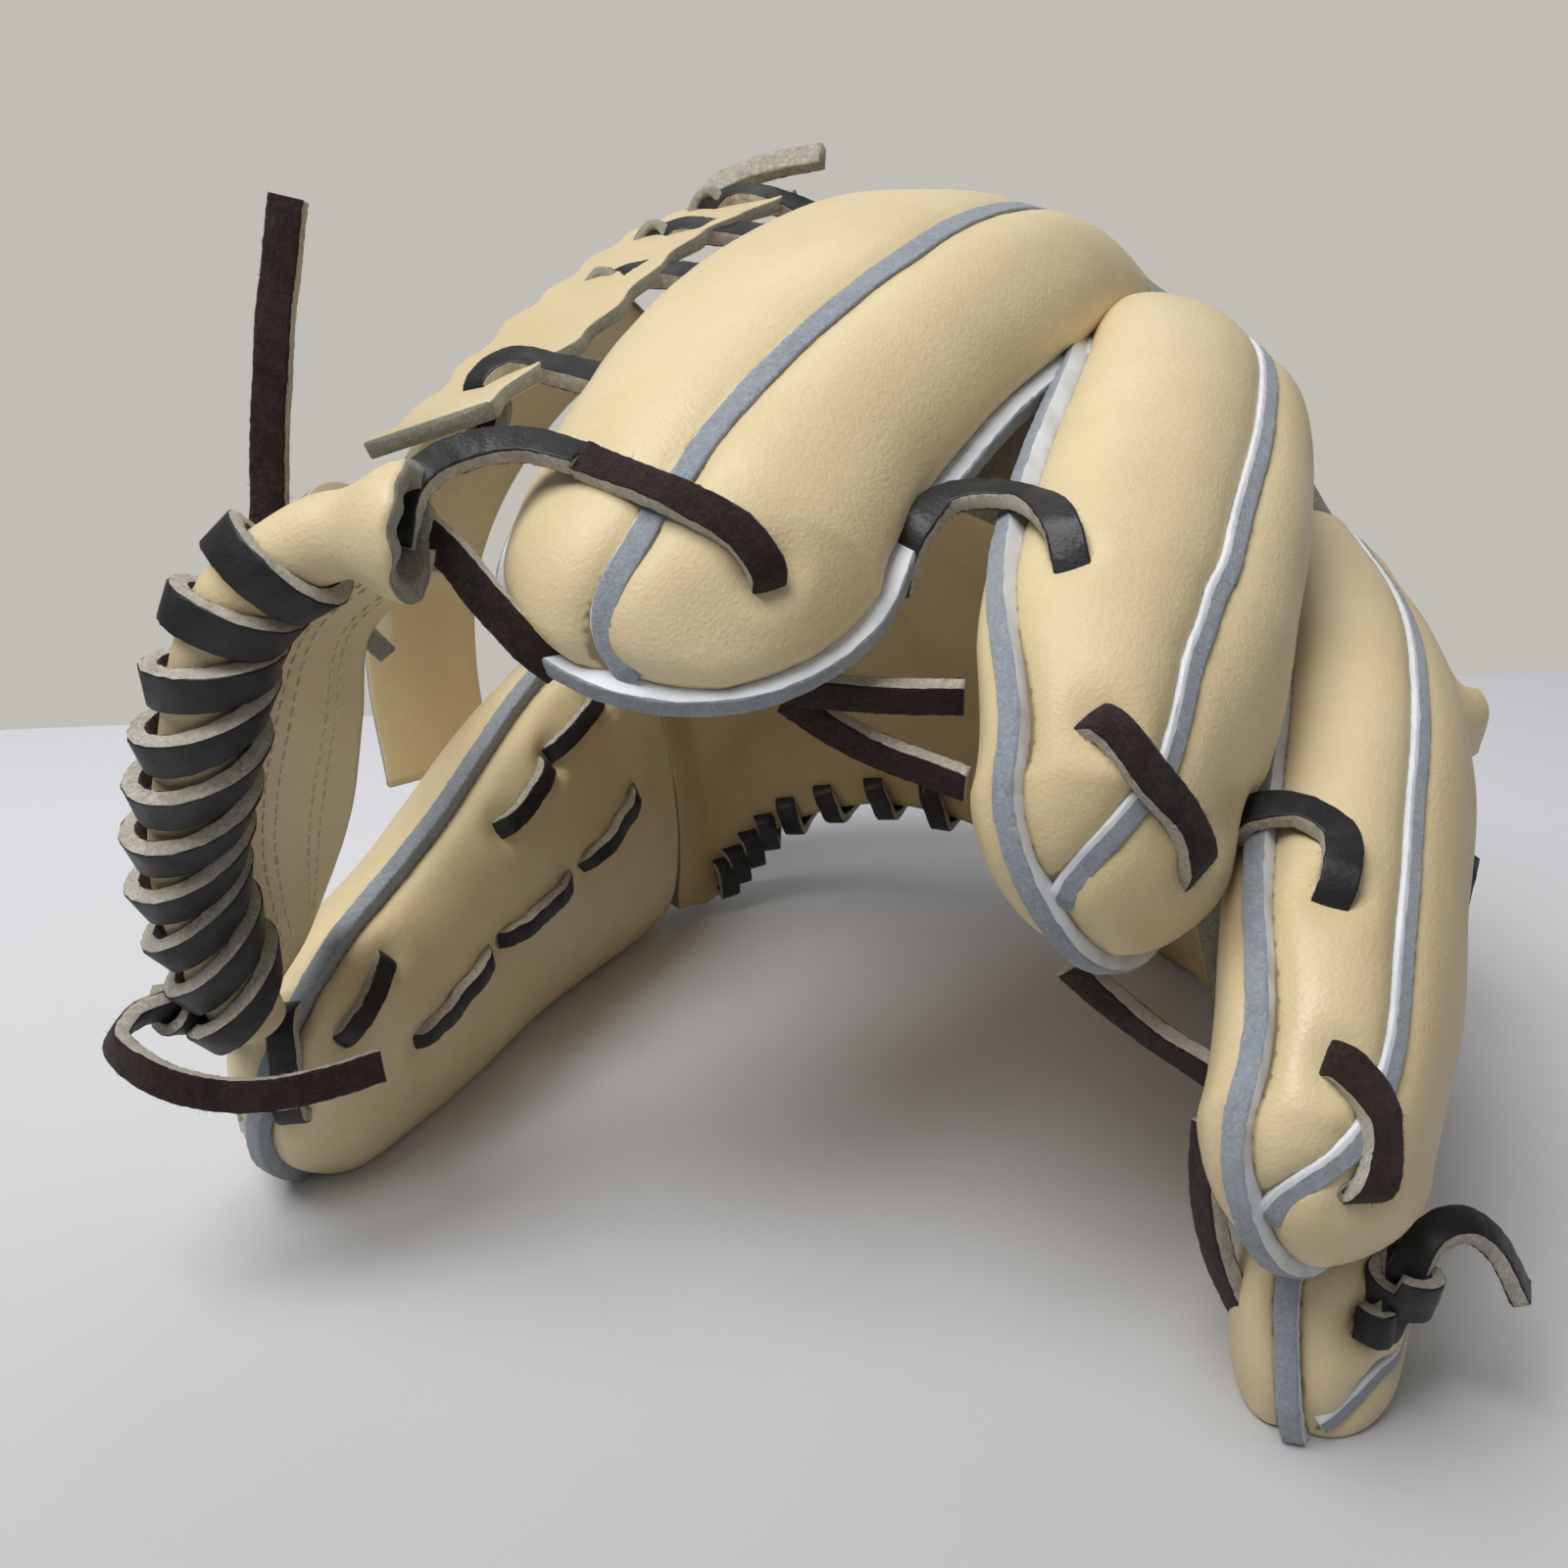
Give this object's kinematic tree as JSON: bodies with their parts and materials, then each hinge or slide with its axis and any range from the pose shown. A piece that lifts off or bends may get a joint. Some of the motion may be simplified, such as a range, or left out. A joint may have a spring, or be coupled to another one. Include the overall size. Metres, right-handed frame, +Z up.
{
  "type": "baseball glove",
  "caption": "Leather baseball infield glove for the left hand with a laced web, padded finger stalls, welted seams and rawhide laces, standing palm down.",
  "frame": {"origin": "middle of the footprint of the glove's box, on the surface that it stands on", "axes": "+Z up, the finger tips point towards -Y, the thumb and web are on the -X side, the little finger on the +X side"},
  "size_m": [0.2827, 0.2843, 0.2111],
  "materials": {
    "shell_leather": "grained cream cowhide, satin",
    "palm_leather": "grained cream cowhide, warmer and matt",
    "web_leather": "grained cream cowhide with raw fibrous edges",
    "welt_leather": "smooth pale face with a grey-blue suede edge",
    "seam_leather": "grey-blue suede with a pale edge",
    "lace_leather": "black smooth face, brown flesh side, tan cut edges"
  },
  "bodies": {
    "root": {"index_stall": "shell_leather", "index_palm": "shell_leather", "middle_stall": "shell_leather", "middle_palm": "shell_leather", "ring_stall": "shell_leather", "ring_palm": "shell_leather", "pinky_stall": "shell_leather", "pinky_palm": "shell_leather", "thumb_stall": "shell_leather", "thumb_palm": "shell_leather", "web_roll": "web_leather", "web_winding_lace": "lace_leather", "palm_panel": "palm_leather", "heel_lace": "lace_leather", "hand_back": "shell_leather", "web_skirt": "web_leather", "web_base": "web_leather", "web_post": "web_leather", "web_index_band": "web_leather", "index_seam": "seam_leather", "middle_seam": "seam_leather", "ring_seam": "seam_leather", "pinky_seam": "seam_leather", "thumb_seam": "seam_leather", "index_welt": "welt_leather", "middle_welt": "welt_leather", "ring_welt": "welt_leather", "pinky_welt": "welt_leather", "thumb_welt": "welt_leather", "wrist_strap": "shell_leather", "strap_tab": "shell_leather", "tall_tail": "lace_leather", "web_bridge_lace": "lace_leather", "web_under_lace": "lace_leather", "index_tip_lace": "lace_leather", "index_middle_lace": "lace_leather", "middle_tip_lace": "lace_leather", "middle_ring_lace": "lace_leather", "ring_tip_lace": "lace_leather", "palm_lace_upper": "lace_leather", "palm_lace_lower": "lace_leather", "palm_lace_ring_lower": "lace_leather", "palm_lace_pinky": "lace_leather", "thumb_tail": "lace_leather", "thumb_tip_lace": "lace_leather", "thumb_dash_a": "lace_leather", "thumb_dash_b": "lace_leather", "thumb_dash_c": "lace_leather", "thumb_dash_d": "lace_leather", "thumb_dash_e": "lace_leather", "thumb_dash_f": "lace_leather", "pinky_edge_lace": "lace_leather", "pinky_back_tail": "lace_leather", "pinky_tail": "lace_leather", "web_loop_a": "lace_leather", "web_loop_b": "lace_leather", "web_loop_c": "lace_leather", "web_loop_d": "lace_leather", "far_tail": "lace_leather", "tab_lace": "lace_leather"}
  },
  "joints": []
}
